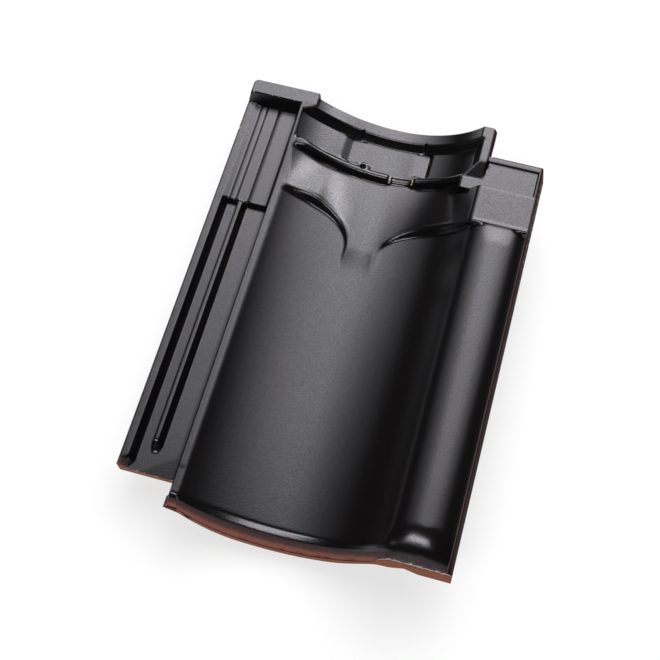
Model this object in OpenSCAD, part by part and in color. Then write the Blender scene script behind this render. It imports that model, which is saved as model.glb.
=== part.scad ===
// Interlocking clay roof tile with a hollow pan on the left and a round roll on the right.
// It lies face up, with its tail towards -Y and its head towards +Y, on its hanging nib and its tail lip.

/* [Tile] */
// Overall width, side-lock strip included
tile_w = 264; // [250:1:280]
// Overall length from the tail's lip to the back of the head bar's flat end
tile_l = 380; // [360:1:400]
// Thickness of the fired body
wall_t = 12; // [10:0.5:14]

/* [Pan] */
// Width of the side-lock strip, up to the pan's left edge
lock_w = 53; // [50:0.5:58]
// Height of the pan's left edge above the lowest line of the pan
pan_rise = 26; // [23:0.5:29]
// Radius of the pan between its lowest line and the roll
pan_right_r = 98; // [94:1:102]

/* [Roll] */
// Outer radius of the roll
roll_r = 32; // [30:0.5:35]
// Angle that the pan turns through before it becomes the roll, a slope of 4 in 3
roll_turn = 53.1301; // [51:0.0001:55]
// Distance from the roll's axis to the tile's right edge
roll_reach = 27.3; // [26:0.1:29]
// Depth of the roll's bottom edge below the roll's axis
roll_mouth = 2; // [0:0.5:4]
// Lean of the roll's side face over its height
roll_side_lean = 3.5; // [2:0.5:5]
// Height of the roll's side face
roll_side_h = 23.4; // [18:0.2:25]
// Setback of the roll's nose behind the tail's lip
roll_setback = 3; // [2:0.5:7]
// Rounding of the roll's nose
roll_nose_r = 26; // [20:1:28]

/* [Tail] */
// How far the lip hangs below the underside
lip_drop = 10; // [6:0.5:12]
// Length of the lip along the tile
lip_l = 14; // [10:0.5:20]
// Length of the tail's slanted nose along the tile
nose_l = 13.5; // [10:0.5:16]
// Depth of the nose at the tail's edge
nose_d = 11.5; // [8:0.5:14]
// How far the tail's edge bows out between the wall rib and the roll
tail_bow = 5; // [3:0.5:7]
// Distance of the bow's foremost point from the pan's left edge
bow_reach = 47; // [40:1:60]
// Setback of the wall rib's end behind the lip
rib_setback = 4; // [2:0.5:8]
// Thickness of the wall rib ahead of the strip's end
rib_end_t = 18; // [16:0.5:21]
// Setback of the side-lock strip's end behind the lip
lock_setback = 25; // [18:0.5:32]

/* [Side lock] */
// Thickness of the strip under its grooves
lock_t = 9; // [8:0.5:11]
// Depth of the strip's grooves below its rib tops
groove_d = 8; // [5:0.5:10]
// Height of the wall rib above the strip's rib tops
wall_rib_h = 6; // [4:0.5:9]
// Width of the wall rib's top
wall_rib_w = 5; // [4:0.5:7]
// Width of the outer rib's top
outer_rib_w = 9.3; // [7:0.1:11]
// Width of the outer groove's floor
outer_groove_w = 7; // [5:0.5:8]
// Width of the inner rib's top
inner_rib_w = 3; // [2.5:0.5:4]
// Run of the outer rib's slanted side
outer_slope = 5; // [3:0.5:6]
// Run of the inner rib's slanted sides
inner_slope = 3; // [2:0.25:4]
// Distance of the inner rib's end from the strip's end
inner_rib_setback = 20; // [14:0.5:26]
// Length at the head over which the grooves are nearly filled
lock_fill_l = 109; // [90:1:125]
// Depth of the grooves over that length
lock_fill_d = 2; // [1:0.5:3]

/* [Head] */
// Width of the head bar along the tile
bar_w = 13; // [10:0.5:16]
// Height of the head bar above the pan
bar_h = 7.5; // [6:0.5:9]
// Height of the head bar's flat end above the wall rib
bar_end_h = 4; // [3:0.5:6]
// Width of the head bar's flat end, measured from the tile's left edge
bar_end_w = 60; // [58:0.5:63]
// How far the flat end stands out behind the rest of the head bar
bar_end_proud = 4; // [1:0.5:6]
// Rounding of the flat end's outer corner
bar_end_r = 6; // [3:0.5:8]
// Lean of the flat end's outer side
bar_end_lean = 2; // [1:0.5:4]
// Slope run of the head bar's front face
bar_draft = 5; // [2:0.5:6]
// Distance from the head bar's back to the middle of the cross rib
cross_rib_y = 44; // [39:0.5:49]
// Width of the cross rib
cross_rib_w = 9; // [7:0.5:11]
// Height of the cross rib above the pan
cross_rib_h = 7; // [5:0.5:9]
// Distance from the head bar's back to the whiskers' straight stretch
whisker_y = 87; // [81:1:93]
// Height of the whisker step at the sides of the pan
whisker_h = 5; // [3:0.5:7]
// Height of the raised lap where it meets the cross rib
lap_foot_h = 2; // [1:0.5:4]
// Radius of the whiskers' bend
whisker_r = 28; // [22:1:32]
// Width of the smooth gap between the whiskers' tips
whisker_gap = 27; // [20:1:36]
// Length of the flat pocket over the nib
pocket_l = 20; // [16:0.5:22]
// Width of the flat pocket over the nib
pocket_w = 68; // [56:1:76]
// Distance of the pocket's middle from the pan's lowest line, towards the side lock
pocket_shift = 1.7; // [-2:0.1:5]
// Width of the gap that drains the pocket through the cross rib
drain_w = 23; // [18:1:28]
// Distance of that gap's left side from the pan's lowest line, towards the roll
drain_x = 1; // [-4:1:6]
// Diameter of the nail hole
nail_d = 6; // [4:0.25:8]
// Diameter of the boss round the nail hole
nail_boss_d = 11; // [10:0.5:12]
// Distance of the nail hole from the pan's lowest line, towards the side lock
nail_x = 21.2; // [18:0.2:25]

/* [Head corner] */
// Setback of the right head corner from the head bar's back
corner_setback = 26.5; // [21:0.5:29]
// Distance from the head bar's back to the step between the corner and the plateau
corner_step_y = 60; // [55:0.5:65]
// Length of the plateau along the tile
plateau_l = 35; // [30:0.5:40]
// Distance of the plateau's top below the roll's crest
plateau_drop = 2; // [1:0.5:4]
// Distance of the corner panel below the plateau
corner_drop = 11; // [8:0.5:13]
// Width and height of the corner panel's rim
corner_rim = 4; // [3:0.5:6]
// Length of the shelf that runs from the corner panel to the cross rib
shelf_l = 12; // [9:0.5:15]
// Width of the top of the ridge at the head bar's right end
ridge_w = 7.5; // [6:0.5:9]
// Length of that ridge along the tile
ridge_l = 34; // [29:1:37]
// Length of the ramp at the ridge's tail end
ridge_ramp = 14; // [10:0.5:16]

/* [Underside] */
// Width of the hanging nib
nib_w = 60; // [40:1:70]
// Length of the hanging nib along the tile
nib_l = 18; // [14:0.5:22]
// Distance from the head bar's back to the nib's back
nib_back = 19; // [15:0.5:23]

/* [Hidden] */
$fn = 144;
overlap = 0.5;
far = 200;
spare_turn = 20;
cross_rib_draft = 2;
whisker_tail = 5;
plateau_proud = 1;
plateau_root = 5;
corner_root = 4;
corner_t = 10;
corner_inset = 1;
shelf_root = 15;
shelf_drop = 2;
ridge_root = 10;
ridge_foot = 3;
bar_end_run = 6;
bar_end_fall = 12;
bar_end_root = 5;
wall_rib_slope = 4;
lock_root = 2;
rib_lap = 0.6;
nib_cover = 5;
pocket_floor = 1.5;
drain_sill = 3;

// Heights above the floor, which the lip and the nib touch
pan_under_z = lip_drop;
pan_z = pan_under_z + wall_t;
rib_top_z = pan_z + pan_rise;
lock_rib_z = rib_top_z - wall_rib_h;
lock_floor_z = lock_rib_z - groove_d;
lock_under_z = lock_floor_z - lock_t;

// The pan's two arcs share their lowest line, and the roll's arc is tangent to the second one
roll_x = tile_w - roll_reach;
pan_x = roll_x - (pan_right_r + roll_r) * sin(roll_turn);
pan_left_r = ((pan_x - lock_w) ^ 2 + pan_rise ^ 2) / (2 * pan_rise);
pan_left_turn = asin((pan_x - lock_w) / pan_left_r);
pan_left_z = pan_z + pan_left_r;
pan_right_z = pan_z + pan_right_r;
roll_z = pan_right_z - (pan_right_r + roll_r) * cos(roll_turn);
roll_bore_r = roll_r - wall_t;
roll_edge_z = roll_z - roll_mouth;
roll_start_x = pan_x + pan_right_r * sin(roll_turn);
roll_end_y = roll_setback + wall_t;
bow_x = lock_w + bow_reach;

// Places along the tile
head_y = tile_l - bar_end_proud;
bar_y = head_y - bar_w;
bar_end_y = tile_l - bar_w;
cross_y = head_y - cross_rib_y;
whisker_line_y = head_y - whisker_y;
corner_y = head_y - corner_step_y;
corner_end_y = head_y - corner_setback;
crest_z = roll_z + roll_r;
plateau_z = crest_z - plateau_drop;
corner_z = plateau_z - corner_drop;
plateau_y = corner_y - plateau_l;
lap_r = pan_right_r - whisker_h - plateau_proud;
lap_x = pan_x + lap_r * sin(roll_turn);
lap_z = pan_right_z - lap_r * cos(roll_turn);
plateau_x = lap_x + (plateau_z - lap_z) / tan(roll_turn);
bar_end_z = rib_top_z + bar_end_h;
ridge_x = roll_start_x + overlap;
ridge_z = pan_right_z - (pan_right_r - bar_h) * cos(roll_turn);
ridge_y = head_y - ridge_l;
shelf_x = roll_start_x - shelf_root;
shelf_z = corner_z - shelf_drop;
pocket_y = (cross_y + cross_rib_w / 2 + bar_y - bar_draft) / 2;
pocket_z = pan_z + pocket_floor;
nail_boss_z = pan_left_z - sqrt((pan_left_r - cross_rib_h) ^ 2 - nail_x ^ 2);

// Places across the side lock
inner_rib_x = outer_rib_w + outer_slope + outer_groove_w + inner_slope;
wall_foot_x = lock_w - wall_rib_w - wall_rib_slope;
rib_foot_z = rib_top_z - wall_t;
rib_end_z = rib_top_z - rib_end_t;

// Extrudes an outline drawn in X and Z along the tile, from y0 to y1
module along_tile(y0, y1) {
    translate([0, y1, 0]) rotate([90, 0, 0]) linear_extrude(y1 - y0) children();
}

// Extrudes an outline drawn in Y and Z across the tile, from x0 to x1
module across_tile(x0, x1) {
    translate([x0, 0, 0]) rotate([90, 0, 90]) linear_extrude(x1 - x0) children();
}

// Turns an outline drawn in radius and length about an axis along the tile, from straight down towards -X
module turned(x, z, angle) {
    translate([x, 0, z]) rotate([-90, 0, 0]) rotate([0, 0, 90]) rotate_extrude(angle = angle) children();
}

// The corner that a rounding of radius r takes off, at the origin, towards +X and +Y
module corner_off(r) {
    difference() {
        translate([-overlap, -overlap]) square(r + overlap);
        translate([r, r]) circle(r);
    }
}

// What the slanted nose takes off, drawn in depth and length, with the tail's upper edge at the origin
module nose_off() {
    polygon([[-overlap, -overlap], [-overlap, nose_l], [0, nose_l], [nose_d, 0], [nose_d, -overlap]]);
}

// What the tail's bow takes off in plan on one side of its foremost point, where it falls back over reach
module bow_off(reach) {
    bow_r = (reach ^ 2 + tail_bow ^ 2) / (2 * tail_bow);
    translate([0, 0, -far]) linear_extrude(2 * far) difference() {
        translate([0, -overlap]) square([far, nose_l + overlap]);
        translate([0, bow_r]) circle(bow_r);
    }
}

// The half-space on the pan's side of the plane where the pan turns into the roll
module pan_side_of_roll() {
    translate([pan_x, 0, pan_right_z]) rotate([0, -roll_turn, 0]) translate([-2 * far, -far, -2 * far])
        cube([2 * far, 4 * far, 4 * far]);
}

// Carries a lengthwise section, drawn with the pan's surface at X = 0, round the pan's two arcs
module round_pan() {
    turned(pan_x, pan_left_z, pan_left_turn) translate([pan_left_r, 0]) children();
    intersection() {
        translate([2 * pan_x, 0, 0]) mirror([1, 0, 0])
            turned(pan_x, pan_right_z, roll_turn + spare_turn) translate([pan_right_r, 0]) children();
        pan_side_of_roll();
    }
}

// Lengthwise section of the pan: wall, lip, slanted nose, cross rib and head bar
module pan_length_section() {
    difference() {
        union() {
            square([wall_t, head_y]);
            square([wall_t + lip_drop, lip_l]);
        }
        nose_off();
    }
    translate([0, cross_y]) polygon([
        [overlap, -cross_rib_w / 2], [-cross_rib_h, -cross_rib_w / 2 + cross_rib_draft],
        [-cross_rib_h, cross_rib_w / 2 - cross_rib_draft], [overlap, cross_rib_w / 2]
    ]);
    polygon([[overlap, bar_y - bar_draft], [-bar_h, bar_y], [-bar_h, head_y], [overlap, head_y]]);
}

// Lengthwise section of the raised head lap, which rises over the whiskers' bend and falls to the cross rib
module head_lap_section() {
    polygon([
        [overlap, whisker_line_y - whisker_r - whisker_tail], [-whisker_h, whisker_line_y + whisker_tail],
        [-lap_foot_h, cross_y - cross_rib_w / 2], [-lap_foot_h, cross_y], [overlap, cross_y]
    ]);
}

// Plan of the low field beside a whisker, with the whisker's bend as its rounded corner at the origin
module whisker_field() {
    mirror([0, 1]) difference() {
        translate([-far, 0]) square([far, far]);
        mirror([1, 0]) corner_off(whisker_r);
    }
}

// The raised head lap, cut back to the two whiskers
module head_lap() {
    difference() {
        round_pan() head_lap_section();
        translate([pan_x - whisker_gap / 2, whisker_line_y, -far]) linear_extrude(2 * far)
            whisker_field();
        translate([pan_x + whisker_gap / 2, whisker_line_y, -far]) linear_extrude(2 * far)
            mirror([1, 0]) whisker_field();
    }
}

// What lies inside the roll's leaning side face and above its bottom edge, seen from the tail
module inside_roll_side() {
    polygon([
        [roll_x - far, roll_edge_z], [tile_w, roll_edge_z],
        [tile_w - roll_side_lean * far / roll_side_h, roll_edge_z + far], [roll_x - far, roll_edge_z + far]
    ]);
}

// The space under the roll, where the next tile's side lock lies
module roll_hollow() {
    difference() {
        along_tile(roll_end_y, corner_y - wall_t) translate([roll_x, roll_z]) circle(roll_bore_r);
        across_tile(roll_x - far, roll_x + far) translate([roll_end_y, roll_z + roll_bore_r]) mirror([0, 1])
            corner_off(roll_nose_r - wall_t);
    }
}

// The roll with its closed nose, and the flat plateau at its head
module roll() {
    difference() {
        union() {
            along_tile(roll_setback, plateau_y + overlap) intersection() {
                translate([roll_x, roll_z]) circle(roll_r);
                inside_roll_side();
            }
            along_tile(plateau_y, corner_y) intersection() {
                polygon([
                    [lap_x - plateau_root, lap_z - plateau_root * tan(roll_turn)], [plateau_x, plateau_z],
                    [tile_w, plateau_z], [tile_w, roll_edge_z], [roll_start_x, roll_edge_z]
                ]);
                inside_roll_side();
            }
        }
        pan_side_of_roll();
        roll_hollow();
        across_tile(roll_x - far, roll_x + far) translate([roll_setback, crest_z]) mirror([0, 1])
            corner_off(roll_nose_r);
    }
}

// The thin panel at the right head corner, with its rim along the head and the right edge, and its shelf
module head_corner() {
    panel_x = roll_start_x - corner_root;
    panel_w = tile_w - corner_inset - panel_x;
    panel_l = corner_end_y - corner_y;
    difference() {
        translate([panel_x, corner_y - wall_t, corner_z - corner_t])
            cube([panel_w, panel_l + wall_t, corner_t + corner_rim]);
        translate([panel_x - overlap, corner_y, corner_z])
            cube([panel_w - corner_rim + overlap, panel_l - corner_rim, far]);
    }
    translate([shelf_x, corner_y - overlap, shelf_z - corner_t])
        cube([shelf_root, shelf_l + overlap, corner_t]);
}

// The ridge at the head bar's right end, with a ramp at its tail end
module head_ridge() {
    intersection() {
        along_tile(ridge_y - ridge_ramp, head_y) polygon([
            [ridge_x - ridge_w - ridge_root, corner_z - corner_t], [ridge_x - ridge_w, ridge_z],
            [ridge_x, ridge_z], [ridge_x + ridge_foot, corner_z],
            [ridge_x + ridge_foot, corner_z - corner_t]
        ]);
        across_tile(shelf_x, tile_w) polygon([
            [ridge_y - ridge_ramp, corner_z - corner_t], [ridge_y - ridge_ramp, shelf_z],
            [ridge_y, ridge_z + overlap], [head_y, ridge_z + overlap], [head_y, corner_z - corner_t]
        ]);
    }
}

// The wall rib between the strip and the pan, seen from the tail, down to the height bottom_z
module wall_rib_section(bottom_z) {
    polygon([
        [wall_foot_x, bottom_z], [wall_foot_x, lock_floor_z], [lock_w - wall_rib_w, rib_top_z],
        [lock_w + rib_lap, rib_top_z], [lock_w + lock_root, rib_foot_z], [lock_w, bottom_z]
    ]);
}

// The side-lock strip: outer rib, outer groove, inner rib, inner groove and the wall rib beside the pan
module side_lock() {
    along_tile(lock_setback, bar_end_y) polygon([
        [0, lock_under_z], [0, lock_rib_z], [outer_rib_w, lock_rib_z],
        [outer_rib_w + outer_slope, lock_floor_z], [wall_foot_x + lock_root, lock_floor_z],
        [wall_foot_x + lock_root, lock_under_z]
    ]);
    along_tile(lock_setback + inner_rib_setback, bar_end_y) polygon([
        [inner_rib_x - inner_slope, lock_floor_z - overlap], [inner_rib_x - inner_slope, lock_floor_z],
        [inner_rib_x, lock_rib_z], [inner_rib_x + inner_rib_w, lock_rib_z],
        [inner_rib_x + inner_rib_w + inner_slope, lock_floor_z],
        [inner_rib_x + inner_rib_w + inner_slope, lock_floor_z - overlap]
    ]);
    along_tile(head_y - lock_fill_l, bar_end_y)
        translate([outer_rib_w, lock_floor_z - overlap])
            square([wall_foot_x + lock_root - outer_rib_w, groove_d - lock_fill_d + overlap]);
    along_tile(lock_setback, bar_end_y) wall_rib_section(lock_under_z);
    difference() {
        along_tile(rib_setback, lock_setback + overlap) wall_rib_section(rib_end_z);
        across_tile(0, 2 * lock_w) translate([rib_setback, rib_top_z]) rotate(-90) nose_off();
    }
}

// The head bar's flat end over the side lock, with a rounded outer corner and a slope to the bar's curve
module head_bar_end() {
    intersection() {
        across_tile(0, far) polygon([
            [bar_end_y - bar_draft, 0], [bar_end_y - bar_draft, lock_rib_z], [bar_end_y, bar_end_z],
            [tile_l, bar_end_z], [tile_l, 0]
        ]);
        along_tile(0, tile_l) polygon([
            [0, lock_under_z], [0, lock_rib_z], [bar_end_lean, bar_end_z], [bar_end_w, bar_end_z],
            [bar_end_w + bar_end_run, bar_end_z - bar_end_fall], [lock_w, lock_under_z + bar_end_root]
        ]);
        linear_extrude(far) difference() {
            square([far, tile_l]);
            translate([0, tile_l]) mirror([0, 1]) corner_off(bar_end_r);
        }
    }
}

// The hanging nib that hooks over the batten
module nib() {
    translate([pan_x - pocket_shift - nib_w / 2, head_y - nib_back - nib_l, 0])
        cube([nib_w, nib_l, pan_z - nib_cover]);
}

// The flat-floored pocket over the nib, and the gap that drains it through the cross rib
module pocket() {
    translate([pan_x - pocket_shift - pocket_w / 2, pocket_y - pocket_l / 2, pocket_z])
        cube([pocket_w, pocket_l, far]);
}

module drain_gap() {
    translate([pan_x + drain_x, cross_y - cross_rib_w, pan_z + drain_sill])
        cube([drain_w, 2 * cross_rib_w, far]);
}

// The nail hole through the cross rib, and the boss round it
module nail_hole() {
    translate([pan_x - nail_x, cross_y, -overlap]) cylinder(d = nail_d, h = far);
}

module nail_boss() {
    translate([pan_x - nail_x, cross_y, pan_z]) cylinder(d = nail_boss_d, h = nail_boss_z - pan_z);
}

module tile_body() {
    difference() {
        union() {
            difference() {
                round_pan() pan_length_section();
                translate([bow_x, 0, 0]) bow_off(roll_start_x - bow_x);
                translate([bow_x, 0, 0]) mirror([1, 0, 0]) bow_off(bow_reach);
            }
            head_lap();
            roll();
            head_corner();
            head_ridge();
            side_lock();
            head_bar_end();
            nail_boss();
            nib();
        }
        pocket();
        drain_gap();
        nail_hole();
    }
}

module roof_tile() {
    color("#1c1c1e") translate([-tile_w / 2, -tile_l / 2, 0]) tile_body();
}

roof_tile();
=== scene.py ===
import math

import bpy
import numpy as np
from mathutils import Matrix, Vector


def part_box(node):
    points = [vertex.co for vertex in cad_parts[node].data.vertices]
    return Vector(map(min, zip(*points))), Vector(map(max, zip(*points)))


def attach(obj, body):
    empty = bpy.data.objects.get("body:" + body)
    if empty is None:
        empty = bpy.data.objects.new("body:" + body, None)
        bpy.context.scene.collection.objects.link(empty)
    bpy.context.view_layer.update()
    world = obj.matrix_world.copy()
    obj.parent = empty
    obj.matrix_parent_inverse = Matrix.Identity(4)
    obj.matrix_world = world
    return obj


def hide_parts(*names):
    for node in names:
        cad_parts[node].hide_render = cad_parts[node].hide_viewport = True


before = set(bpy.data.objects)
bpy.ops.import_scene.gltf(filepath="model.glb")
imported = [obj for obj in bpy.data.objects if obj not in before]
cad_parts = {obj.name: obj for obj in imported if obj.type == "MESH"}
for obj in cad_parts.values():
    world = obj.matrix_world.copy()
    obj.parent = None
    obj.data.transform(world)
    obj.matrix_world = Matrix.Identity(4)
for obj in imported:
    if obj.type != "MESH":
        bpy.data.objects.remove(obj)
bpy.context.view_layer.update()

# The roof tile
# One piece of red clay, pressed between two moulds, dipped in black satin glaze and fired.
# The clay stays bare on the tail's edge, the head's back, the side lock's end and underneath, and the
# glaze is thin and brown along the right side.

MM = 0.001
node_low, node_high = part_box("roof_tile")
tile_w = (node_high.x - node_low.x) / MM
tile_l = (node_high.y - node_low.y) / MM
wall_t = 12.0

# Section across the tile: side lock, two arcs of the pan, and the roll with its leaning side face
lock_w = 53.0
pan_z = 22.0
rib_top_z = 48.0
bar_end_z = 53.0
head_y = tile_l - 4.0
pan_right_r = 98.0
roll_r = 32.0
roll_x = tile_w - 27.3
roll_slope = 4.0 / 3.0
slope_sine = 0.8
slope_cosine = 0.6
pan_x = roll_x - slope_sine * (pan_right_r + roll_r)
pan_left_r = ((pan_x - lock_w) ** 2 + (rib_top_z - pan_z) ** 2) / (2 * (rib_top_z - pan_z))
roll_z = pan_z + pan_right_r - slope_cosine * (pan_right_r + roll_r)
crest_z = roll_z + roll_r
roll_start_x = pan_x + slope_sine * pan_right_r
roll_edge_z = roll_z - 2.0
roll_side_h = 23.4
roll_side_lean = 3.5


def eased(u, ease):
    """The positive part of u, with its corner rounded over ease on both sides."""
    return np.where(u < -ease, 0.0, np.where(u > ease, u, (u + ease) ** 2 / (4 * ease)))


def ramp(s, start, end, ease):
    """Rises from 0 at start to 1 at end, with both corners rounded."""
    return (eased(s - start, ease) - eased(s - end, ease)) / (end - start)


def lower_of(a, b, ease):
    """The lower of two heights, with a rounded edge where they meet."""
    return a - eased(a - b, ease)


def upper_of(a, b, ease):
    """The higher of two heights, with a fillet where they meet."""
    return a + eased(b - a, ease)


def pan_height(x, lift):
    """Height of a surface that lies lift above the pan, square to it."""
    radius = np.where(x < pan_x, pan_left_r, pan_right_r)
    return pan_z + radius - np.sqrt(np.maximum((radius - lift) ** 2 - (x - pan_x) ** 2, 1.0))


def side_face(x):
    """Height of the leaning side face at the tile's right edge."""
    return roll_edge_z + 1.0 + (tile_w - x) * roll_side_h / roll_side_lean


def roll_height(x):
    """Height of the roll's round back, down to the side face."""
    back = roll_z + np.sqrt(np.maximum(roll_r ** 2 - (x - roll_x) ** 2, 1.0))
    return lower_of(back, side_face(x), 1.5)


# Side lock: outer rib, groove, thin inner rib, groove and the wall rib beside the pan
lock_rib_z = 42.0
lock_floor_z = 34.0
lock_end_y = 25.0
lock_head_y = head_y - 109.0
lock_head_z = 40.0
outer_rib_x = 6.9
outer_rib_run = 4.4
outer_cut_w = 6.0
outer_cut_l = 8.0
inner_rib_left = (19.3, 21.4)
inner_rib_right = (24.9, 28.2)
inner_rib_tip_y = 43.0
inner_rib_tip_l = 7.0
inner_rib_tip_w = 1.6
wall_foot_x = 44.0
wall_face_x = (45.2, 47.6)
lock_end_x = 50.0
wall_rise_y = (300.0, head_y - 12.0)
edge_w = 1.6
edge_drop = 1.4
bevel_x = 18.4
bevel_y = 25.8
bevel_slant = 0.77
bevel_fall = 0.05
score_places = (12.9, 18.4, 28.7)
score_half_w = 0.7
score_slope = 1.2


def rib_top(y):
    """Height of the wall rib's top, which rises a little towards the head bar's flat end."""
    return rib_top_z + (bar_end_z - rib_top_z) * ramp(y, *wall_rise_y, 8.0)


def outer_edge(x):
    """Drop of the rounded outer edge at the tile's left side."""
    outwards = np.maximum(edge_w - x, 0) / edge_w
    return edge_drop * (1 - np.sqrt(np.maximum(1 - outwards ** 2, 0)))


def lock_height(x, y):
    """Height of the side lock's ribs and grooves."""
    groove = lock_rib_z - lock_floor_z
    filled = ramp(y, lock_head_y - 1.5, lock_head_y, 0.5)
    depth = groove - (lock_head_z - lock_floor_z) * filled
    rib_edge = outer_rib_x - outer_cut_w * ramp(lock_end_y + outer_cut_l - y, 0.0, outer_cut_l, 1.0)
    outer = ramp(x - rib_edge, 0.0, outer_rib_run, 0.7)
    tip = ramp(y, inner_rib_tip_y, inner_rib_tip_y + inner_rib_tip_l, 1.0)
    narrow = inner_rib_tip_w * (1 - tip)
    rising = ramp(x - narrow, *inner_rib_left, 0.5)
    falling = ramp(x + narrow, *inner_rib_right, 0.5)
    inner = rising - falling
    foot_x, face_end_x = wall_face_x
    wall = (eased(x - foot_x, 1.0) - eased(x - face_end_x, 0.5)) / (face_end_x - foot_x)
    bevel = bevel_fall * eased(bevel_slant * (x - bevel_x) - (y - bevel_y), 0.4)
    score = sum(eased(score_half_w - np.abs(x - place), 0.1) for place in score_places)
    floor = lock_rib_z - depth * outer + groove * tip * inner * (1 - filled)
    floor = floor - bevel - score_slope * score * filled - outer_edge(x)
    return floor + (rib_top(y) - floor) * wall


# Tail: the edge bows out along the pan, and the nose slants down to it over the whole width
# The pan's nose has two slopes, each given as its start along the tile and its steepness
nose_l = 13.5
nose_slopes = ((13.2, 0.48), (7.8, 0.66))
tail_bow = 5.0
bow_x = 100.0
roll_crease_y = 7.0
roll_edge_y = 3.6
roll_nose_l = 34.0
roll_band_z = 50.0
lip_l = 14.0
lip_drop = 10.0


def nose(v, length):
    """1 behind the nose, falling to 0 at the tail's edge along a quarter of an ellipse."""
    return np.sqrt(np.maximum(1 - np.maximum(1 - v / length, 0) ** 2, 0))


def roll_share(x):
    """0 on the pan and 1 on the roll, for what changes between the two at the tail."""
    return ramp(x, roll_start_x - 6.0, roll_start_x + 6.0, 3.0)


def place_along(x, v, roll_start_y):
    """Distance from the foremost point of the tail, for the row that starts at v."""
    reach = np.where(x < bow_x, bow_x - lock_w, roll_start_x - bow_x)
    bow = tail_bow * np.minimum(np.abs(x - bow_x) / reach, 1) ** 2
    pan = v + bow * np.maximum(1 - v / nose_l, 0)
    roll = v + roll_start_y * np.maximum(1 - v / roll_nose_l, 0)
    share = roll_share(x)
    return np.where(x < wall_foot_x, v, pan * (1 - share) + roll * share)


# Head: whiskers, cross rib with its drain gap, pocket over the nib, head bar
# A whisker is given as its outer end across, its reach towards the middle and its outer end along
whisker_tip_y = head_y - 121.0
whisker_left = (70.0, 47.0, head_y - 88.0)
whisker_right = (190.0, -47.0, head_y - 93.5)
whisker_face = 0.66
bead_h = 0.32
bead_w = 1.4
bead_setback = 1.8
lap_foot_l = 16.0
lap_end_y = head_y - 50.0
lap_middle_h = 1.2
lap_middle_w = 8.0
lap_side_h = 7.5
lap_rise_w = 42.0
lap_at_wall = 0.15
lap_left_x = (56.0, 80.0)
lap_right_x = (170.0, 200.0)
lap_right_fall = 0.3
cross_rib_h = 7.2
cross_rib_half_w = 2.4
cross_rib_face = 2.4
cross_rib_fall = 0.26
cross_rib_left_x = (51.0, 58.0)
cross_rib_middle_x = 128.0
cross_rib_middle_y = head_y - 47.2
cross_rib_bend = 1.7
cross_rib_reach = 60.0
drain_left_x = 134.0
drain_left_run = 5.0
drain_right_x = 158.0
drain_right_run = 4.0
drain_sill = 2.6
bar_y = head_y - 10.5
bar_h = 7.5
bar_face = 1.5
bar_end_y = head_y - 9.0
bar_end_x = 60.0
bar_end_r = 6.0
bar_end_lean = 2.0
bar_end_side = 2.0
bar_end_face = 2.4
end_cut_x = 61.0
back_r = 1.2
seam_places = (104.0, 159.0)
seam_w = 0.9
seam_depth = 1.6
pocket_z = 24.0
pocket_left_x = 97.5
pocket_right_x = 165.5
pocket_left_face = 0.62
pocket_right_face = 2.4
pocket_end_face = 3.0
nail_x = 111.5
nail_y = head_y - 44.0
pocket_y = (nail_y + 5.5, bar_y - 6.0)
nail_r = 3.0
boss_r = 5.0
boss_drop = 0.8
boss_face = 4.0


def beside_whisker(x, y, whisker):
    """How far a place lies inside the low field beside a whisker, across the whisker's line."""
    start_x, width, start_y = whisker
    over = np.maximum((x - start_x) / width, 0)
    up = np.maximum(y - whisker_tip_y, 0) / (start_y - whisker_tip_y)
    return (1 - np.hypot(over, up)) * (start_y - whisker_tip_y)


def crest_line_y(x):
    """Line along the whiskers' crests, from which the lap falls towards the head."""
    left = np.reshape(whisker_left, (3, 1, 1))
    right = np.reshape(whisker_right, (3, 1, 1))
    start_x, width, start_y = np.where(x < pan_x, left, right)
    over = np.clip((x - start_x) / width, 0, 1)
    return whisker_tip_y + (start_y - whisker_tip_y) * np.sqrt(1 - over ** 2)


def cross_rib_y(x):
    """Middle line of the cross rib, which bends a little towards the tail in the pan."""
    return cross_rib_middle_y + cross_rib_bend * ((x - cross_rib_middle_x) / cross_rib_reach) ** 2


def head_lift(x, y):
    """Height of the head's relief above the pan: lap, cross rib and head bar."""
    from_middle = np.minimum((np.hypot(x - pan_x, lap_middle_w) - lap_middle_w) / lap_rise_w, 1)
    crest = lap_middle_h + (lap_side_h - lap_middle_h) * from_middle
    inside = np.maximum(beside_whisker(x, y, whisker_left), beside_whisker(x, y, whisker_right))
    low = ramp((inside + 0.6) / (whisker_face * crest), 0.0, 1.0, 0.25)
    bead = bead_h * from_middle * np.exp(-((inside + bead_setback) / bead_w) ** 2)
    crest = crest * ramp(y, whisker_tip_y - lap_foot_l, whisker_tip_y, 4.0)
    crest = crest * (1 - lap_right_fall * ramp(x, *lap_right_x, 8.0))
    lap = crest * (1 - ramp(y, crest_line_y(x), lap_end_y, 2.0)) * (1 - low) + bead
    lap = lap * (lap_at_wall + (1 - lap_at_wall) * ramp(x, *lap_left_x, 6.0))

    # The cross rib has two steep faces and a top that falls towards the head
    s = y - cross_rib_y(x)
    gap = ramp(x, drain_left_x, drain_left_x + drain_left_run, 0.6)
    gap = gap - ramp(x, drain_right_x - drain_right_run, drain_right_x, 0.6)
    rib = cross_rib_h - (cross_rib_h - drain_sill) * gap
    rib = rib - cross_rib_face * eased(-s - cross_rib_half_w, 1.6) - cross_rib_fall * eased(s + 0.4, 0.8)
    rib = rib - cross_rib_face * eased(s - cross_rib_half_w, 0.5)
    rib = rib * ramp(x, *cross_rib_left_x, 2.0)

    # The head bar's front slants, with two fine seams from the mould
    seam = sum(np.exp(-((x - place) / seam_w) ** 2) for place in seam_places)
    bar = lower_of(bar_h, bar_h + bar_face * (y - seam_depth * seam - bar_y), 0.7)
    return upper_of(upper_of(lap, rib, 0.9), bar, 0.8)


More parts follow.
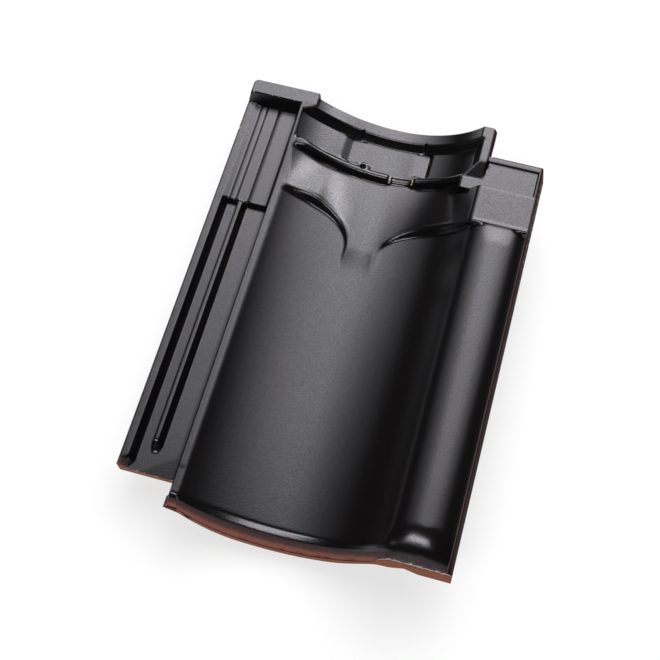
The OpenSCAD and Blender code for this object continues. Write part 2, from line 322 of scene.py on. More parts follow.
# Head corner: plateau at the roll's end, the sunk panel behind it, and the ridge beside the panel
# The two sunk values put a form well below the surface where it doesn't belong
plateau_y = head_y - 95.0
corner_y = head_y - 60.0
corner_end_y = head_y - 26.5
plateau_z = crest_z - 2.0
corner_z = plateau_z - 11.0
corner_rim = 4.5
rim_h = 2.2
rim_face_x = (257.4, 258.2)
rim_face_l = 0.9
plateau_round_y = (plateau_y - 15.0, plateau_y - 1.0)
plateau_bead = 0.6
plateau_fall = 0.26
plateau_face = 4.0
ridge_left_x = 207.6
ridge_right_x = 214.2
ridge_z = 65.7
ridge_y = head_y - 34.0
ridge_left_face = 3.0
ridge_right_face = 2.4
ramp_slope = 0.33
shelf_x = 197.0
shelf_z = 61.0
shelf_end_y = corner_y + 12.0
shelf_face = 4.0
lap_h = 5.0
lap_end_x = pan_x + slope_sine * (pan_right_r - lap_h)
lap_end_z = pan_z + pan_right_r - slope_cosine * (pan_right_r - lap_h)
head_cut_x = 216.5
head_cut_z = 46.0
sunk = 60.0
sunk_slope = 40.0


def corner_height(x, y, pan):
    """Puts the plateau, the panel, the shelf and the ridge over the pan's and the roll's surface."""
    slope = lap_end_z + (x - lap_end_x) * roll_slope
    flat = lower_of(lower_of(slope, plateau_z, 3.5), side_face(x), 1.2)
    flat = flat + plateau_bead * np.exp(-((y - plateau_y - 2.0) / 1.2) ** 2)
    rim_y = corner_end_y - corner_rim
    rim = np.maximum(ramp(x, *rim_face_x, 0.3), ramp(y, rim_y - rim_face_l, rim_y, 0.3))
    panel = lower_of(corner_z + rim_h * rim, side_face(x), 0.6)
    left_x = np.interp(y, (shelf_end_y - 1.0, ridge_y), (shelf_x, ridge_left_x))
    ridge = ridge_z - ridge_left_face * eased(left_x - x, 0.6)
    ridge = ridge - ridge_right_face * eased(x - ridge_right_x, 0.6)
    ridge = ridge - ramp_slope * eased(ridge_y - y, 0.8) - sunk * (y < shelf_end_y - 1.0)
    back = roll_height(x)
    back = back - np.maximum(back - flat, 0) * ramp(y, *plateau_round_y, 3.0)
    edge = flat - plateau_fall * eased(y - corner_y + 1.8, 0.4) - plateau_face * eased(y - corner_y, 0.4)
    on_plateau = ramp(y, plateau_y - 1.2, plateau_y + 0.6, 0.4)
    roll = back * (1 - on_plateau) + np.maximum(edge, panel) * on_plateau
    roll = np.where((y > corner_end_y - 0.1) & (x < head_cut_x + 0.1), head_cut_z, roll)
    roll = np.maximum(roll, ridge)
    beside = np.where(y > corner_y, lower_of(pan, ridge_z, 0.6), pan)
    slope = slope - sunk_slope * (1 - on_plateau) - sunk_slope * (y > corner_y)
    beside = upper_of(beside, slope, 2.0)
    on_shelf = (y > corner_y) & (y < shelf_end_y)
    shelf = shelf_z - shelf_face * eased(shelf_x - x, 0.5) - shelf_face * eased(y - shelf_end_y, 0.5)
    shelf = shelf - sunk * (y < corner_y)
    beside = np.where(on_shelf & (x > shelf_x), shelf_z, np.maximum(beside, shelf))
    beside = np.maximum(beside, ridge)
    on_ramp = (y > shelf_end_y - 1.0) & (y < ridge_y) & (x > left_x)
    beside = np.where(on_ramp, ridge, beside)
    return np.where(x > roll_start_x, roll, beside)


def top_height(x, v):
    """Height of the weather face at a place across the tile and the row that starts at v."""
    y = place_along(x, v, roll_crease_y)
    z = pan_height(x, head_lift(x, y))
    pocket = pocket_z + pocket_left_face * eased(pocket_left_x - x, 0.8)
    pocket = pocket + pocket_right_face * eased(x - pocket_right_x, 0.6)
    pocket = pocket + pocket_end_face * eased(pocket_y[0] - y, 0.5)
    pocket = pocket + pocket_end_face * eased(y - pocket_y[1], 0.5)
    z = lower_of(z, pocket, 0.5)
    boss = pan_height(nail_x, cross_rib_h - boss_drop)
    boss = boss - boss_face * eased(np.hypot(x - nail_x, y - nail_y) - boss_r, 0.8)
    z = upper_of(z, boss, 0.6)
    z = corner_height(x, y, z)

    # The wall rib's top cuts the relief off level, and the bar's flat end stands over the side lock
    end = lower_of(bar_end_z, bar_end_z - bar_end_side * (x - bar_end_x), 0.8)
    end = lower_of(end, bar_end_z + bar_end_face * (y - bar_end_y), 0.7) - outer_edge(x)
    level = lower_of(z, rib_top(y), 1.4)
    z = np.where(x < lock_end_x, lock_height(x, y), np.where(x < pan_x, level, z))
    z = np.where(x < pan_x, np.maximum(z, end), z)

    # The nose, round the pan's arcs and over the roll
    depth = sum(slope * eased(start - v, 1.2) for start, slope in nose_slopes)
    pan_nose = np.where(x < lock_w + 1.0, lower_of(z, rib_top_z - depth, 0.8), pan_height(x, -depth))
    pan_nose = np.minimum(z, pan_nose)
    roll_nose = roll_band_z + (z - roll_band_z) * nose(v, roll_nose_l)
    roll_nose = np.where(z > roll_band_z, roll_nose, z)
    share = roll_share(x)
    nosed = pan_nose * (1 - share) + roll_nose * share
    z = np.where((v < roll_nose_l) & (x > wall_foot_x - 0.1), nosed, z)

    # The head's back edge is a little rounded
    back_y = np.where(x < end_cut_x + 0.1, tile_l, head_y) - back_r
    backwards = np.maximum(y - back_y, 0) / back_r
    return z - back_r * (1 - np.sqrt(np.maximum(1 - backwards ** 2, 0)))


# Underside: plain shell of even thickness, the lip, the nib and the hollow under the roll
nib_w = 60.0
nib_x = pan_x - 1.7
nib_y = (head_y - 37.0, head_y - 19.0)
nib_h = 20.0
lock_under_z = 25.0
rib_under_z = 30.0
roll_bore_r = roll_r - wall_t
bore_y = 18.0
bore_end_l = 14.0
closed_x = 228.7
closed_z = 48.0
closed_slope = 0.75
shell_end_x = 220.7
panel_start_x = 214.0
panel_t = 10.0
lip_cut = 0.45
lip_cut_start = (178.0, 200.0)
lip_cut_end = (208.0, 228.0)


def under_height(x, v):
    """Height of the underside."""
    y = place_along(x, v, roll_edge_y)
    lip = lip_drop * (1 - ramp(v, lip_l, lip_l + 2.5, 0.8))
    lip = lip * (1 - lip_cut * (ramp(x, *lip_cut_start, 6.0) - ramp(x, *lip_cut_end, 6.0)))
    shell = pan_height(x, -wall_t - lip)
    bore = roll_z + np.sqrt(np.maximum(roll_bore_r ** 2 - (x - roll_x) ** 2, 0))
    bore = np.where(x > roll_x + roll_bore_r - 0.1, roll_edge_z, bore)
    open_end = nose(np.maximum(y - bore_y, 0), bore_end_l)
    closed = np.maximum(roll_edge_z, closed_z - closed_slope * (x - closed_x))
    bore = closed + (np.maximum(bore, closed) - closed) * open_end
    head = corner_z - panel_t
    bore = np.where((y > corner_y - wall_t) & (x > roll_start_x + 6.0), np.minimum(bore, head), bore)
    hand_over_x = np.where(v < lip_l, closed_x, shell_end_x)
    z = np.where(x > hand_over_x, bore, shell)
    z = np.where((y > corner_y - wall_t) & (x > panel_start_x), np.minimum(z, head), z)
    lock = np.where(v < lock_end_y, rib_under_z, lock_under_z)
    lock = lock + (shell - lock) * ramp(x, lock_w - 1.0, lock_w + 2.0, 0.6)
    z = np.where((x < lock_w + 2.0) & (v > lip_l), lock, z)
    inside = np.minimum(nib_w / 2 - np.abs(x - nib_x), np.minimum(y - nib_y[0], nib_y[1] - y))
    nib = nib_h * (1 - ramp(inside, -1.0, 1.0, 0.4))
    return np.where(inside > -1.2, np.minimum(z, nib), np.maximum(z, 0))


# Lines of the mesh: close together where the section or the relief turns, and apart where it is plain
def spread(*stretches):
    """Joins stretches of (start, end, spacing) into one rising list of places."""
    places = [np.linspace(a, b, max(1, round((b - a) / step)), endpoint=False) for a, b, step in stretches]
    return np.append(np.concatenate(places), stretches[-1][1])


columns = spread(
    (0, 2, 0.5), (2, 6, 2), (6, 14, 0.5), (14, 17.5, 1.8), (17.5, 22, 0.5), (22, 24.5, 0.8),
    (24.5, 29.5, 0.5), (29.5, wall_foot_x, 2.9), (wall_foot_x, 54, 0.6), (54, end_cut_x, 1.2),
    (end_cut_x, 88, 2.4), (88, 102, 1.2), (102, 106, 0.5),
    (106, nail_x - nail_r, 1.0), (nail_x - nail_r, nail_x + nail_r, 1.0),
    (nail_x + nail_r, 119, 1.1), (119, 133, 2.2), (133, 140, 1.0), (140, 153, 2.2), (153, 157, 1.0),
    (157, 161, 0.5), (161, 169, 1.0), (169, 195, 2.6), (195, head_cut_x, 1.0), (head_cut_x, 256, 2.4),
    (256, tile_w, 0.6),
)
rows = spread(
    (0, 3, 0.5), (3, nose_l, 0.9), (nose_l, lock_end_y, 2.0), (lock_end_y, 53, 1.4), (53, 253, 4.6),
    (253, 263, 1.6), (263, 293, 0.95), (293, 313, 2.8), (313, nail_y - nail_r, 0.9),
    (nail_y - nail_r, nail_y + nail_r, 1.0), (nail_y + nail_r, 344, 0.95), (344, corner_end_y, 1.1),
    (corner_end_y, 356, 1.9), (356, 368.5, 0.6), (368.5, 374, 1.6), (374, head_y, 0.4),
    (head_y, tile_l, 0.5),
)
X, V = np.meshgrid(columns, rows, indexing="ij")


def rounded_square(across, along, size):
    """Factor that turns a square of lines round a place into rings, for places within size."""
    square = np.maximum(np.abs(across), np.abs(along))
    ring = np.maximum(np.hypot(across, along), 1e-9)
    return 1 + (np.maximum(square, 1e-9) / ring - 1) * (1 - ramp(square, size, size + 4.0, 0.01))


across, along = X - nail_x, V - nail_y
factor = rounded_square(across, along, nail_r)
X = nail_x + across * factor
V = nail_y + along * factor
across, along = np.minimum(X - bar_end_r, 0), np.maximum(V - tile_l + bar_end_r, 0)
factor = np.where((across < 0) & (along > 0), rounded_square(across, along, bar_end_r), 1.0)
X = X + across * (factor - 1)
V = V + along * (factor - 1)

# Top and underside, each with its own edge: the bar's end leans and the band at the roll's tail slants
top_x = X + bar_end_lean * np.maximum(1 - X / 20.0, 0) * ramp(V, bar_end_y - 5.0, bar_end_y, 0.7)
top_y = place_along(X, V, roll_crease_y)
under_x = X - 2.0 * (np.abs(X - wall_foot_x) < 0.1) * (V < lip_l - 0.1)
under_y = place_along(X, V, roll_edge_y)
under = under_height(under_x, V)
top = np.maximum(top_height(X, V), under + 1.0)
top = np.minimum(top, crest_z - 0.2)

# Cells of the plan that belong to the tile: the corners of the plan and the nail hole are left out
cell_x = (columns[:-1] + columns[1:])[:, None] / 2
cell_y = (rows[:-1] + rows[1:])[None, :] / 2
kept = ~((cell_x < wall_foot_x) & (cell_y < lock_end_y))
kept = kept & ~((cell_x > head_cut_x) & (cell_y > corner_end_y))
kept = kept & ~((cell_x > end_cut_x) & (cell_y > head_y))
kept = kept & ~((np.abs(cell_x - nail_x) < nail_r) & (np.abs(cell_y - nail_y) < nail_r))

# Points in layers from the top down to the underside, so that the sides can carry their own colour
side_layers = 4
n_x, n_y = X.shape
number = np.arange(n_x * n_y).reshape(n_x, n_y)
upper_face = np.stack([top_x, top_y, top], axis=-1).reshape(-1, 3)
lower_face = np.stack([under_x, under_y, under], axis=-1).reshape(-1, 3)
drop = lower_face - upper_face
points = np.concatenate([upper_face + drop * k / side_layers for k in range(side_layers + 1)])
layer = n_x * n_y

i, j = np.nonzero(kept)
corners = [number[i, j], number[i + 1, j], number[i + 1, j + 1], number[i, j + 1]]
faces = [np.stack(corners, axis=-1), np.stack(corners[::-1], axis=-1) + side_layers * layer]
padded_cells = np.pad(kept, 1)
for step_x, step_y, a, b in ((-1, 0, 3, 0), (1, 0, 1, 2), (0, -1, 0, 1), (0, 1, 2, 3)):
    edge = kept & ~padded_cells[1 + step_x:n_x + step_x, 1 + step_y:n_y + step_y]
    i, j = np.nonzero(edge)
    around = [number[i, j], number[i + 1, j], number[i + 1, j + 1], number[i, j + 1]]
    for k in range(side_layers):
        upper = k * layer
        lower = upper + layer
        quad = [around[b] + upper, around[a] + upper, around[a] + lower, around[b] + lower]
        faces.append(np.stack(quad, axis=-1))
faces = np.concatenate(faces)

used, compact = np.unique(faces, return_inverse=True)
faces = compact.reshape(faces.shape)
level = used // layer
points = points[used]
x_of = np.tile(X.reshape(-1), side_layers + 1)[used]
v_of = np.tile(V.reshape(-1), side_layers + 1)[used]

# How bare the clay is, from 0 under full glaze to 1: the underside, the tail's edge and the head's back are
# bare, the side lock's end nearly so, and the glaze is thin over the nose and along both sides
dark_glaze = 0.6
left_glaze = 0.3
lock_end_bare = 0.68
rib_end_bare = 0.44
rib_end_l = 9.0
rib_end_w = 7.5
hole_glaze = 0.2
lip_patch = 0.36
lip_patch_x = 61.0
lip_patch_w = 5.0
nose_places = (0.0, 0.6, 2.6, 4.2, 6.0, 7.4, 9.0)
nose_glaze = (0.52, 0.46, 0.45, 0.39, 0.31, 0.25, 0.0)
roll_glaze = 0.48
on_top = level == 0
on_side = (level > 0) & (level < side_layers)
on_tail = v_of < 0.1
above_under = level < side_layers
thin = np.interp(v_of, nose_places, nose_glaze)
thin = thin * (x_of > wall_foot_x - 0.1) * (1 - roll_glaze * roll_share(x_of))
bare = np.where(on_top, thin, 1.0)
right_side = ramp(x_of, tile_w - 5.5, tile_w - 4.2, 0.2) * above_under * ~on_tail
corner_back = above_under * (x_of > ridge_right_x + 0.3) * (v_of > corner_end_y - 0.1)
right_side = np.maximum(right_side, corner_back)
bare = bare + (dark_glaze - bare) * right_side
bare = np.where(on_side & (x_of < 0.1), left_glaze, bare)
rib_end = rib_end_bare * np.maximum(1 - (v_of - lock_end_y) / rib_end_l, 0) * (x_of < rib_end_w)
bare = np.where(on_top & (x_of < wall_foot_x), rib_end, bare)
bare = np.where(on_side & (x_of < lock_w) & (v_of < lip_l), lock_end_bare, bare)
patch = lip_patch * np.exp(-((x_of - lip_patch_x) / lip_patch_w) ** 2)
bare = np.where(on_side & on_tail, bare - patch, bare)
in_hole = np.hypot(x_of - nail_x, v_of - nail_y) < nail_r + 0.5
bare = np.where(on_side & in_hole, hole_glaze, bare)

# Worn edges and one painted highlight: chips along the lock's rib and end, the bar's flat end, the roll's
# crease and the right side, and a painted highlight in the chips' light grey on the drain gap's cut faces
# The single chips are given as places across and along and a radius
lock_wear_w = 1.5
left_wear = 0.75
bar_wear_w = 1.8
crease_wear = 1.35
crease_wear_w = 1.2
chip_wear = 1.2
chips = ((3.8, 103.0, 3.0), (0.8, 335.0, 2.6), (2.5, 279.0, 2.6))
drain_painted_highlight = 1.3
drain_highlight_w = 1.6
wear_and_highlight = on_top * (x_of < wall_foot_x + 0.1) * np.maximum(1 - np.abs(v_of - lock_end_y) / lock_wear_w, 0)
wear_and_highlight = np.maximum(wear_and_highlight, on_top * left_wear * np.maximum(1 - x_of / lock_wear_w, 0))
bar_front = np.maximum(1 - np.abs(v_of - bar_end_y) / bar_wear_w, 0)
wear_and_highlight = np.maximum(wear_and_highlight, on_top * (x_of < wall_foot_x) * bar_front)
crease = crease_wear * np.maximum(1 - v_of / crease_wear_w, 0)
wear_and_highlight = np.maximum(wear_and_highlight, on_top * (x_of > roll_start_x - 4.0) * crease)
for chip_x, chip_y, chip_r in chips:
    chip = np.exp(-(np.hypot(x_of - chip_x, v_of - chip_y) / chip_r) ** 2)
    wear_and_highlight = np.maximum(wear_and_highlight, on_top * chip_wear * chip)
right_wear = 0.62 + 0.28 * ramp(v_of, 120.0, 300.0, 20.0)
right_wear = right_wear * np.where(on_top, 1.0, 0.6) * (level < 2)
wear_and_highlight = np.maximum(wear_and_highlight, right_wear * ramp(x_of, tile_w - 3.6, tile_w - 2.4, 0.5))
# Painted highlight: light grey painted on each sloping cut face of the drain gap
for chip_x in (drain_left_x + 2.5, drain_right_x - 2.0):
    along_rib = np.abs(v_of - cross_rib_y(x_of)) < 3.5
    drain_highlight = drain_painted_highlight * np.exp(-((x_of - chip_x) / drain_highlight_w) ** 2)
    wear_and_highlight = np.maximum(wear_and_highlight, on_top * along_rib * drain_highlight)

# Share of the waves and ripples at each point, which die out near the tile's edges
relief = on_top * ramp(v_of, 0.5, 4.0, 0.4) * ramp(x_of, 1.0, 4.0, 0.4)
relief = relief * (1 - ramp(x_of, tile_w - 5.0, tile_w - 2.0, 0.4))
relief = relief * (1 - ramp(v_of, tile_l - 3.0, tile_l - 1.0, 0.4))

points = points - np.array([tile_w / 2, tile_l / 2, 0.0])
mesh = bpy.data.meshes.new("roof_tile_clay")
mesh.from_pydata((points * MM).tolist(), [], faces.tolist())
for name, values in (("bare", bare), ("wear_and_highlight", wear_and_highlight), ("relief", relief)):
    mesh.attributes.new(name, "FLOAT", "POINT").data.foreach_set("value", values.astype(np.float32))
mesh.validate()
tile = bpy.data.objects.new("roof_tile_clay", mesh)
bpy.context.scene.collection.objects.link(tile)

# Glaze and clay in one material, told apart by the mesh's own values
glaze_black = (0.0034, 0.0028, 0.0031, 1)
glaze_violet = (0.042, 0.026, 0.030, 1)
glaze_brown = (0.094, 0.050, 0.045, 1)
glaze_red = (0.27, 0.104, 0.078, 1)
crease_dark = (0.018, 0.009, 0.007, 1)
clay_red = (0.31, 0.118, 0.073, 1)
wear_and_highlight_grey = (0.46, 0.39, 0.36, 1)

clay = bpy.data.materials.new("black_glaze_on_red_clay")
clay.use_nodes = True
tree = clay.node_tree
shader = tree.nodes["Principled BSDF"]


def node(kind, **settings):
    """Adds a node to the tile's material."""
    made = tree.nodes.new(kind)
    for name, value in settings.items():
        setattr(made, name, value)
    return made


def noise(scale, detail, roughness):
    """Adds a noise pattern in the tile's own coordinates."""
    made = node("ShaderNodeTexNoise")
    made.inputs["Scale"].default_value = scale
    made.inputs["Detail"].default_value = detail
    made.inputs["Roughness"].default_value = roughness
    tree.links.new(place.outputs["Object"], made.inputs["Vector"])
    return made.outputs["Fac"]


def maths(operation, a, b):
    """Adds a maths node on two sockets or numbers."""
    made = node("ShaderNodeMath", operation=operation, use_clamp=True)
    for socket, value in zip(made.inputs, (a, b)):
        if isinstance(value, (int, float)):
            socket.default_value = value
        else:
            tree.links.new(value, socket)
    return made.outputs[0]


def stepped(value, *stops):
    """Adds a colour ramp with (place, colour) stops on a value."""
    made = node("ShaderNodeValToRGB")
    elements = made.color_ramp.elements
    while len(elements) < len(stops):
        elements.new(0.5)
    for element, (position, colour) in zip(elements, stops):
        element.position = position
        element.color = colour
    tree.links.new(value, made.inputs["Fac"])
    return made.outputs["Color"]


def blended(kind, factor, a, b):
    """Adds a colour mix of two sockets or colours."""
    made = node("ShaderNodeMix", data_type="RGBA", blend_type=kind)
    for name, value in (("Factor", factor), ("A", a), ("B", b)):
        socket = next(s for s in made.inputs if s.name == name and s.enabled)
        if isinstance(value, (int, float, tuple)):
            socket.default_value = value
        else:
            tree.links.new(value, socket)
    return next(s for s in made.outputs if s.enabled)


place = node("ShaderNodeTexCoord")
bare_value = node("ShaderNodeAttribute", attribute_name="bare").outputs["Fac"]
wear_and_highlight_value = node("ShaderNodeAttribute", attribute_name="wear_and_highlight").outputs["Fac"]
grain = noise(800.0, 3.0, 0.6)
cloud = noise(90.0, 3.0, 0.55)
patches = noise(420.0, 3.0, 0.6)
# Chips, and the painted highlight at the drain gap, turn the glaze light grey and matt where the patches
# pass this line
chip_and_highlight_line = maths("SUBTRACT", 1.02, maths("MULTIPLY", wear_and_highlight_value, 0.52))
chips_and_highlight = maths("MULTIPLY", maths("SUBTRACT", patches, chip_and_highlight_line), 12.0)
uneven = maths("ADD", bare_value, maths("MULTIPLY", maths("SUBTRACT", cloud, 0.5), 0.16))
bare_all = maths("MULTIPLY", uneven, maths("GREATER_THAN", bare_value, 0.02))
colour = stepped(
    bare_all, (0.0, glaze_black), (0.14, glaze_black), (0.26, glaze_violet), (0.39, glaze_brown),
    (0.46, glaze_red), (0.51, crease_dark), (0.66, crease_dark), (0.74, clay_red),
)
clay_grain = stepped(grain, (0.25, (0.62, 0.6, 0.58, 1)), (0.7, (1.0, 1.0, 1.0, 1)))
colour = blended("MULTIPLY", 1.0, colour, clay_grain)
colour = blended("MIX", chips_and_highlight, colour, wear_and_highlight_grey)
tree.links.new(colour, shader.inputs["Base Color"])
dull = stepped(bare_all, (0.12, (0, 0, 0, 1)), (0.27, (0.85, 0.85, 0.85, 1)), (0.56, (1, 1, 1, 1)))
rough_clay = maths("MAXIMUM", dull, chips_and_highlight)
gloss = maths("ADD", 0.2, maths("MULTIPLY", maths("MULTIPLY", rough_clay, rough_clay), 0.6))
tree.links.new(gloss, shader.inputs["Roughness"])
speckle = maths("ADD", 0.24, maths("MULTIPLY", grain, 0.76))
sheen = maths("MULTIPLY", speckle, maths("SUBTRACT", 1.0, maths("MULTIPLY", rough_clay, 0.92)))
tree.links.new(sheen, shader.inputs["Specular IOR Level"])
bump = node("ShaderNodeBump")
bump.inputs["Strength"].default_value = 0.9
bump.inputs["Distance"].default_value = 0.0001
tree.links.new(grain, bump.inputs["Height"])
tree.links.new(bump.outputs["Normal"], shader.inputs["Normal"])
shader.inputs["Specular Tint"].default_value = (0.95, 0.93, 1.0, 1)

mesh.materials.append(clay)
mesh.shade_smooth()
mesh.set_sharp_from_angle(angle=math.radians(48))

# The pressed and fired surface is never quite even: waves and small ripples along its own normals
group = bpy.data.node_groups.new("fired_surface", "GeometryNodeTree")
group.interface.new_socket("Geometry", in_out="INPUT", socket_type="NodeSocketGeometry")
sizes = (
    ("Wave size", 0.040), ("Wave depth", 0.00016), ("Ripple size", 0.010), ("Ripple depth", 0.00003),
    ("Seed", 4.0),
)
sockets = {}
for name, value in sizes:
    sockets[name] = group.interface.new_socket(name, in_out="INPUT", socket_type="NodeSocketFloat")
group.interface.new_socket("Geometry", in_out="OUTPUT", socket_type="NodeSocketGeometry")


def step(kind, inputs, **settings):
    """Adds a node to the surface's tree; inputs are (name, socket or value)."""
    made = group.nodes.new(kind)
    for name, value in settings.items():
        setattr(made, name, value)
    for name, value in inputs:
        socket = made.inputs[name]
        if isinstance(value, bpy.types.NodeSocket):
            group.links.new(value, socket)
        else:
            socket.default_value = value
    return made


def unevenness(size, depth):
    """Noise of a given size about zero, times its depth."""
    scale = step("ShaderNodeMath", ((0, 1.0), (1, size)), operation="DIVIDE").outputs[0]
    settings = (("Scale", scale), ("W", given.outputs["Seed"]), ("Detail", 1.0))
    pattern = step("ShaderNodeTexNoise", settings, noise_dimensions="4D").outputs[0]
    centred = step("ShaderNodeMath", ((0, pattern), (1, 0.5)), operation="SUBTRACT").outputs[0]
    return step("ShaderNodeMath", ((0, centred), (1, depth)), operation="MULTIPLY").outputs[0]


given = group.nodes.new("NodeGroupInput")
waves = unevenness(given.outputs["Wave size"], given.outputs["Wave depth"])
ripples = unevenness(given.outputs["Ripple size"], given.outputs["Ripple depth"])
height = step("ShaderNodeMath", ((0, waves), (1, ripples)), operation="ADD").outputs[0]
share = step("GeometryNodeInputNamedAttribute", (("Name", "relief"),), data_type="FLOAT").outputs[0]
height = step("ShaderNodeMath", ((0, height), (1, share)), operation="MULTIPLY").outputs[0]
normal = group.nodes.new("GeometryNodeInputNormal").outputs[0]
shift = step("ShaderNodeVectorMath", ((0, normal), ("Scale", height)), operation="SCALE").outputs[0]
moved = step("GeometryNodeSetPosition", (("Geometry", given.outputs["Geometry"]), ("Offset", shift)))
real = step("GeometryNodeRealizeInstances", (("Geometry", moved.outputs[0]),))
painted = step("GeometryNodeSetMaterial", (("Geometry", real.outputs[0]), ("Material", clay)))
step("NodeGroupOutput", (("Geometry", painted.outputs[0]),))

surface = tile.modifiers.new("fired_surface", "NODES")
surface.node_group = group
for name, value in sizes:
    surface[sockets[name].identifier] = value
shaped = tile.evaluated_get(bpy.context.evaluated_depsgraph_get())
tile.data = bpy.data.meshes.new_from_object(shaped)
tile.modifiers.remove(surface)
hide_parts("roof_tile")
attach(tile, "root")

# The floor
# A wide pale studio floor of matt paint, which keeps the tile's soft shadow.
# Its colour is pale round the tile and greyer further out, a painted falloff of light, so that the glaze
# mirrors a dim room.

floor_r = 4.0
floor_mesh = bpy.data.meshes.new("floor")
floor_corners = [(x * floor_r, y * floor_r, 0) for x, y in ((-1, -1), (1, -1), (1, 1), (-1, 1))]
floor_mesh.from_pydata(floor_corners, [], [(0, 1, 2, 3)])
floor = bpy.data.objects.new("floor", floor_mesh)
bpy.context.scene.collection.objects.link(floor)
floor_with_painted_falloff = bpy.data.materials.new("floor_with_painted_falloff")
floor_with_painted_falloff.use_nodes = True
paint = floor_with_painted_falloff.node_tree
floor_shader = paint.nodes["Principled BSDF"]
floor_shader.inputs["Roughness"].default_value = 1.0
floor_shader.inputs["Specular IOR Level"].default_value = 0.0
floor_place = paint.nodes.new("ShaderNodeTexCoord")
from_tile = paint.nodes.new("ShaderNodeVectorMath")
from_tile.operation = "LENGTH"
paint.links.new(floor_place.outputs["Object"], from_tile.inputs[0])
# Painted falloff of light: the floor's colour goes from pale by the tile to grey further out
outwards = paint.nodes.new("ShaderNodeValToRGB")
outwards.color_ramp.elements[0].position = 0.45
outwards.color_ramp.elements[0].color = (0.80, 0.80, 0.80, 1)
outwards.color_ramp.elements[1].position = 0.80
outwards.color_ramp.elements[1].color = (0.30, 0.30, 0.30, 1)
paint.links.new(from_tile.outputs["Value"], outwards.inputs["Fac"])
paint.links.new(outwards.outputs["Color"], floor_shader.inputs["Base Color"])
ray = paint.nodes.new("ShaderNodeLightPath")
seen = ray.outputs["Is Camera Ray"]
for other in ("Is Glossy Ray", "Is Transmission Ray"):
    either = paint.nodes.new("ShaderNodeMath")
    either.operation = "MAXIMUM"
    paint.links.new(seen, either.inputs[0])
    paint.links.new(ray.outputs[other], either.inputs[1])
    seen = either.outputs[0]
paler = paint.nodes.new("ShaderNodeMath")
paler.operation = "MULTIPLY"
paler.inputs[1].default_value = 0.6
paint.links.new(seen, paler.inputs[0])
white = paint.nodes.new("ShaderNodeEmission")
paint.links.new(outwards.outputs["Color"], white.inputs["Color"])
white.inputs["Strength"].default_value = 1.25
both = paint.nodes.new("ShaderNodeMixShader")
paint.links.new(paler.outputs[0], both.inputs["Fac"])
paint.links.new(floor_shader.outputs["BSDF"], both.inputs[1])
paint.links.new(white.outputs["Emission"], both.inputs[2])
paint.links.new(both.outputs["Shader"], paint.nodes["Material Output"].inputs["Surface"])
floor_mesh.materials.append(floor_with_painted_falloff)

# The light
# One wide soft panel over the tile's head, brightest in its lower middle, with two small panels at the
# tail and on the right, in a dim room.


def panel(name, azimuth, elevation, distance, width, height, radiance):
    """Adds a soft panel that faces the tile; radiance is how bright its face is."""
    lamp = bpy.data.lights.new(name, "AREA")
    lamp.shape = "RECTANGLE"
    lamp.size = width
    lamp.size_y = height
    lamp.energy = radiance * math.pi * width * height
    made = bpy.data.objects.new(name, lamp)
    flat = distance * math.cos(math.radians(elevation))
    made.location = (
        flat * math.sin(math.radians(azimuth)), flat * math.cos(math.radians(azimuth)),
        distance * math.sin(math.radians(elevation)),
    )
    made.rotation_euler = (-Vector(made.location)).to_track_quat("-Z", "Y").to_euler()
    bpy.context.scene.collection.objects.link(made)
    return lamp


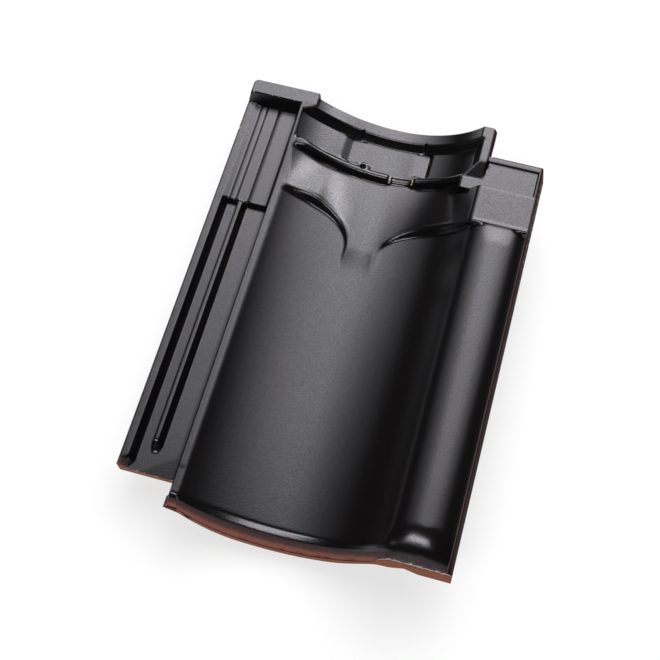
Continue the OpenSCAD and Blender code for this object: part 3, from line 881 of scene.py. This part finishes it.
head_radiance = 7.6
across_stops = (
    (0.0, 0.0), (0.2, 0.35), (0.295, 0.68), (0.4, 0.92), (0.5, 1.0), (0.57, 0.76), (0.64, 0.45),
    (0.72, 0.22), (0.82, 0.09), (1.0, 0.0),
)
up_stops = (
    (0.15, 0.0), (0.3, 1.0), (0.43, 1.0), (0.55, 0.82), (0.62, 0.64), (0.72, 0.455), (0.82, 0.43),
    (1.0, 0.2),
)
head_panel = panel("head_panel", -8.0, 50.0, 2.2, 5.6, 3.0, 1.0)
head_panel.use_nodes = True
lights = head_panel.node_tree
shine = lights.nodes["Emission"]
where = lights.nodes.new("ShaderNodeNewGeometry")
split = lights.nodes.new("ShaderNodeSeparateXYZ")
lights.links.new(where.outputs["Parametric"], split.inputs[0])
across_ramp = lights.nodes.new("ShaderNodeValToRGB")
up_ramp = lights.nodes.new("ShaderNodeValToRGB")
lights.links.new(split.outputs["X"], across_ramp.inputs["Fac"])
lights.links.new(split.outputs["Y"], up_ramp.inputs["Fac"])
for made, stops in ((across_ramp, across_stops), (up_ramp, up_stops)):
    elements = made.color_ramp.elements
    while len(elements) < len(stops):
        elements.new(0.5)
    for element, (position, value) in zip(elements, stops):
        element.position = position
        element.color = (value, value, value, 1)
strength = lights.nodes.new("ShaderNodeMath")
strength.operation = "MULTIPLY"
lights.links.new(across_ramp.outputs["Color"], strength.inputs[0])
lights.links.new(up_ramp.outputs["Color"], strength.inputs[1])
brighter = lights.nodes.new("ShaderNodeMath")
brighter.operation = "MULTIPLY"
brighter.inputs[1].default_value = head_radiance
lights.links.new(strength.outputs[0], brighter.inputs[0])
lights.links.new(brighter.outputs[0], shine.inputs["Strength"])
panel("tail_panel", 190.0, 50.0, 2.0, 1.5, 0.55, 8.8)
panel("side_panel", 33.0, 35.0, 2.0, 0.5, 0.4, 8.0)

world = bpy.data.worlds.new("room")
world.use_nodes = True
world.node_tree.nodes["Background"].inputs["Color"].default_value = (0.03, 0.03, 0.03, 1)
bpy.context.scene.world = world

# The camera
# It looks down on the tile from the tail's side, a little from the right.
# Its place, focal length and centre were fitted to the tile's edges in the photo.

half_l = tile_l * MM / 2
camera_place = Vector((0.0983, -0.1677 - half_l, 0.8711))
looked_at = Vector((0.0010, 0.1900 - half_l, 0.0400))
picture_px = 660
focal_px = 1137.0
centre_px = (343.5, 313.4)
lens = bpy.data.cameras.new("camera")
lens.sensor_width = 36.0
lens.lens = focal_px / picture_px * lens.sensor_width
lens.shift_x = 0.5 - centre_px[0] / picture_px
lens.shift_y = centre_px[1] / picture_px - 0.5
camera = bpy.data.objects.new("camera", lens)
camera.location = camera_place
camera.rotation_euler = (looked_at - camera_place).to_track_quat("-Z", "Y").to_euler()
bpy.context.scene.collection.objects.link(camera)
bpy.context.scene.camera = camera
bpy.context.scene.view_settings.view_transform = "Standard"
